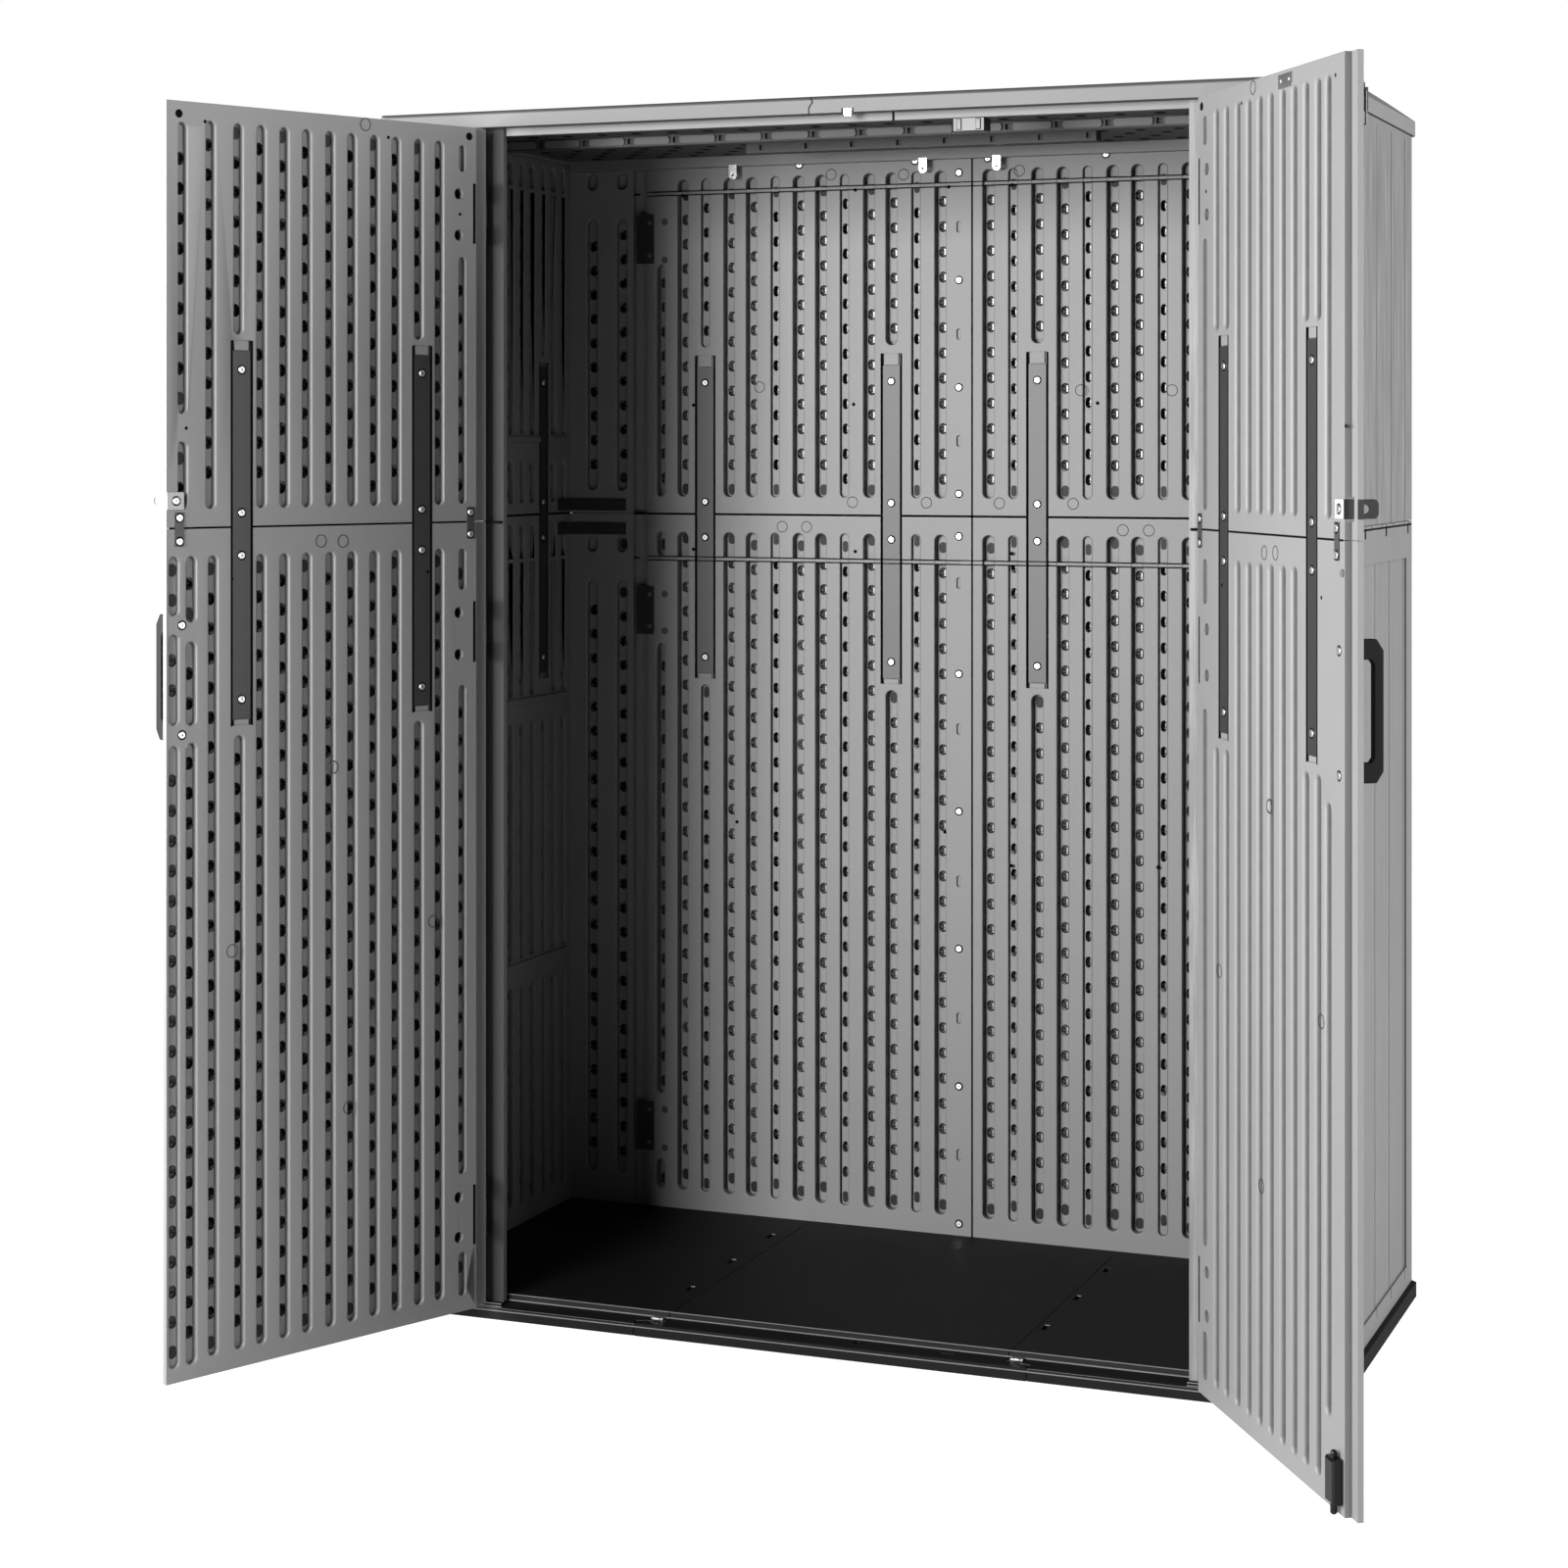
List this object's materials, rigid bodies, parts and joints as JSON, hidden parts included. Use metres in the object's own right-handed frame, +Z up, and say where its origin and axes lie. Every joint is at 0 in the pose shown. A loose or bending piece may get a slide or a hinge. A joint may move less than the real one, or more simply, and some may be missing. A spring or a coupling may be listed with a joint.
{
  "type": "garden storage cabinet",
  "caption": "Upright plastic outdoor cabinet with two hinged doors, grooved inner panels, steel bars, floor panels, low roof, handles, hasp, slide bolt and draw latch.",
  "frame": {"origin": "centre of the base's bottom face", "axes": "+X to the right seen from the front, +Y to the back, +Z up"},
  "size_m": [1.7041, 1.1982, 1.8565],
  "materials": {
    "base_plastic": "fine texture",
    "panel_plastic": "moulded wood grain outside, fine texture inside",
    "roof_plastic": "fine texture",
    "trim_plastic": "fine texture",
    "dark_plastic": "fine texture",
    "black_plastic": "satin",
    "grey_plastic": "satin",
    "coated_steel": "powder coat",
    "hinge_steel": "powder coat",
    "bright_metal": "bright plated",
    "zinc": "zinc plated"
  },
  "bodies": {
    "cabinet": {"back_bars": "coated_steel", "back_panel_left_lower": "panel_plastic", "back_panel_left_upper": "panel_plastic", "back_panel_right_lower": "panel_plastic", "back_panel_right_upper": "panel_plastic", "back_screws": "zinc", "corner_plates": "coated_steel", "floor_centre": "base_plastic", "floor_clips": "zinc", "floor_left": "base_plastic", "floor_right": "base_plastic", "front_corner_left_lower": "panel_plastic", "front_corner_left_upper": "panel_plastic", "front_corner_right_lower": "panel_plastic", "front_corner_right_upper": "panel_plastic", "hinge_frame_left": "hinge_steel", "hinge_frame_right": "hinge_steel", "magnetic_catch": "black_plastic", "rear_connectors_left": "hinge_steel", "rear_connectors_right": "hinge_steel", "rear_corner_left_lower": "panel_plastic", "rear_corner_left_upper": "panel_plastic", "rear_corner_right_lower": "panel_plastic", "rear_corner_right_upper": "panel_plastic", "rear_ledge": "trim_plastic", "rear_tabs": "bright_metal", "roof_beams": "dark_plastic", "roof_catch": "bright_metal", "roof_header": "trim_plastic", "roof_left": "roof_plastic", "roof_right": "roof_plastic", "side_bars": "coated_steel", "side_screws": "zinc", "side_wall_left_lower": "panel_plastic", "side_wall_left_upper": "panel_plastic", "side_wall_right_lower": "panel_plastic", "side_wall_right_upper": "panel_plastic"},
    "left_door": {"left_door_bars": "coated_steel", "left_door_lower": "panel_plastic", "left_door_screws": "zinc", "left_door_upper": "panel_plastic", "left_handle": "black_plastic", "left_hasp": "bright_metal", "left_joint_plates": "coated_steel", "hinge_door_left": "hinge_steel"},
    "right_door": {"right_door_bars": "coated_steel", "right_door_lower": "panel_plastic", "right_door_screws": "zinc", "right_door_upper": "panel_plastic", "right_handle": "black_plastic", "right_hasp": "bright_metal", "right_joint_plates": "coated_steel", "hinge_door_right": "hinge_steel", "strike_plate": "bright_metal", "door_plug": "grey_plastic", "bolt_housing": "black_plastic", "latch_base": "bright_metal"},
    "bolt": {"bolt": "black_plastic"},
    "latch_lever": {"latch_lever": "black_plastic"},
    "latch_bail": {"latch_bail": "bright_metal"}
  },
  "joints": [
    {"name": "left_door_hinge", "type": "hinge", "parent": "cabinet", "child": "left_door", "pos_m": [-0.56, -0.3275, 0.9], "axis": [0, 0, 1], "range_deg": [-46, 114]},
    {"name": "right_door_hinge", "type": "hinge", "parent": "cabinet", "child": "right_door", "pos_m": [0.56, -0.3275, 0.9], "axis": [0, 0, -1], "range_deg": [-36, 123.9]},
    {"name": "bolt_slide", "type": "slide", "parent": "right_door", "child": "bolt", "axis": [0, 0, -1], "range_m": [0, 0.018]},
    {"name": "latch_lever_hinge", "type": "hinge", "parent": "right_door", "child": "latch_lever", "pos_m": [0.85628, -0.76213, 1.771], "axis": [0.5577, -0.83, 0], "range_deg": [0, 75]},
    {"name": "latch_bail_hinge", "type": "hinge", "parent": "latch_lever", "child": "latch_bail", "pos_m": [0.86126, -0.75879, 1.76], "axis": [0.5577, -0.83, 0], "range_deg": [0, 100]}
  ]
}
